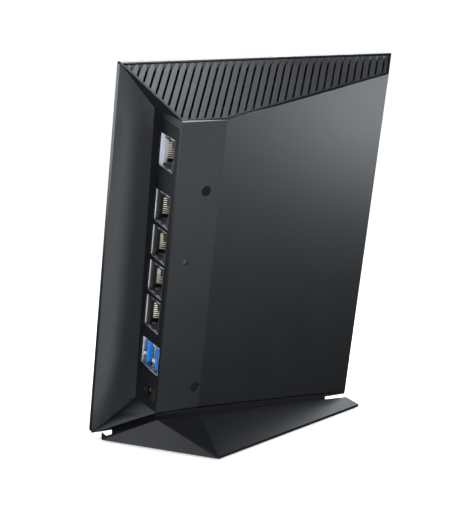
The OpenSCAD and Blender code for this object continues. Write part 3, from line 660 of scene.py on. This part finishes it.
def area_light(name, at, look, size, brightness):
    """A rectangular softbox. Its power grows with its area, so brightness doesn't depend on it."""
    light = bpy.data.lights.new(name, "AREA")
    light.shape = "RECTANGLE"
    light.size, light.size_y = size
    light.energy = POWER_PER_AREA * size[0] * size[1] * brightness
    light.color = COOL_WHITE
    obj = bpy.data.objects.new(name, light)
    obj.location = at
    obj.rotation_mode = "QUATERNION"
    obj.rotation_quaternion = (Vector(look) - Vector(at)).to_track_quat("-Z", "Y")
    obj.visible_camera = False
    bpy.context.scene.collection.objects.link(obj)


def sky_light(name, strength, angle):
    """A soft light from straight above, which whitens the floor."""
    light = bpy.data.lights.new(name, "SUN")
    light.energy = strength
    light.angle = math.radians(angle)
    obj = bpy.data.objects.new(name, light)
    obj.visible_glossy = False
    bpy.context.scene.collection.objects.link(obj)


def make_floor():
    """A pale floor for the camera alone: no reflection, bounced light or shadow comes from it."""
    bm = bmesh.new()
    bmesh.ops.create_grid(bm, x_segments=8, y_segments=8, size=FLOOR_REACH)
    mesh = bpy.data.meshes.new("floor")
    bm.to_mesh(mesh)
    bm.free()
    floor = bpy.data.objects.new("floor", mesh)
    bpy.context.scene.collection.objects.link(floor)
    material, _, shader = new_material("floor_paper")
    shader.inputs["Roughness"].default_value = 0.9
    shader.inputs["Base Color"].default_value = (0.86, 0.86, 0.86, 1)
    shader.inputs["Emission Color"].default_value = (1, 1, 1, 1)
    shader.inputs["Emission Strength"].default_value = 0.5
    mesh.materials.append(material)
    floor.visible_glossy = False
    floor.visible_diffuse = False
    floor.visible_shadow = False


def make_world(strength):
    """An even, dim white all round."""
    world = bpy.data.worlds.new("studio")
    world.use_nodes = True
    background = world.node_tree.nodes["Background"]
    background.inputs["Color"].default_value = (1, 1, 1, 1)
    background.inputs["Strength"].default_value = strength
    bpy.context.scene.world = world


def make_camera():
    """Camera at the photograph's viewing angle."""
    azimuth, elevation, distance = math.radians(150.6), math.radians(10.5), 0.8034
    target = Vector((0.0037, -0.01382, 0.0883))
    back = Vector((math.sin(azimuth) * math.cos(elevation),
                   -math.cos(azimuth) * math.cos(elevation), math.sin(elevation)))
    data = bpy.data.cameras.new("camera")
    data.lens, data.sensor_width, data.sensor_fit = 114.03, 36, "AUTO"
    data.clip_start, data.clip_end = 0.01, 100
    camera = bpy.data.objects.new("camera", data)
    camera.location = target + back * distance
    camera.rotation_mode = "QUATERNION"
    camera.rotation_quaternion = (-back).to_track_quat("-Z", "Y")
    bpy.context.scene.collection.objects.link(camera)
    bpy.context.scene.camera = camera


# Each softbox: where it is, where it looks, its size in metres and its brightness
SOFTBOXES = {
    "key_softbox": ((-0.31, 0.61, 0.49), (0, 0.02, 0.16), (0.14, 0.14), 16),
    "rim_softbox": ((-0.55, 0.46, 0.46), (-0.02, 0.03, 0.165), (0.14, 0.14), 12),
    "ridge_softbox": ((0.27, 0.21, 0.2), (0.05, 0.02, 0.01), (0.08, 0.08), 10),
    "top_softbox": ((-0.01, 0.015, 0.34), (0.06, 0.015, 0.18), (0.06, 0.06), 12),
    "bay_softbox": ((0.08, 0.3, -0.03), (0.072, 0, 0.12), (0.12, 0.18), 6.2),
    "low_bay_softbox": ((0.19, 0.24, -0.16), (0.07, -0.02, 0.03), (0.12, 0.12), 7),
    "strip_softbox": ((-0.11, 0.29, 0.02), (0.045, 0.03, 0.13), (0.15, 0.15), 2.6),
    "face_softbox": ((-0.25, 0.13, 0.09), (-0.05, 0.015, 0.165), (0.09, 0.09), 13),
    "stand_softbox": ((0.29, -0.04, -0.19), (0.06, 0, 0.005), (0.12, 0.12), 2.6),
    "far_softbox": ((-0.26, -0.09, 0.19), (-0.045, 0, 0.005), (0.14, 0.14), 4.2),
    "floor_softbox": ((0.23, -0.23, 0.14), (0.06, -0.01, 0.02), (0.14, 0.14), 3),
    "edge_softbox": ((-0.17, -0.28, 0.37), (0, -0.03, 0.19), (0.3, 0.14), 4.5),
    "front_softbox": ((-0.45, -0.62, 0.62), (0, -0.03, 0.19), (0.3, 0.3), 1.5),
    "port_softbox": ((0.39, 0.09, 0.16), (0.057, -0.01, 0.08), (0.12, 0.2), 4.6),
}

make_floor()
make_world(strength=0.06)
make_camera()
bpy.context.scene.view_settings.view_transform = "Standard"
sky_light("sky", strength=1.9, angle=60)
for name, (at, look, size, brightness) in SOFTBOXES.items():
    area_light(name, at, look, size, brightness)
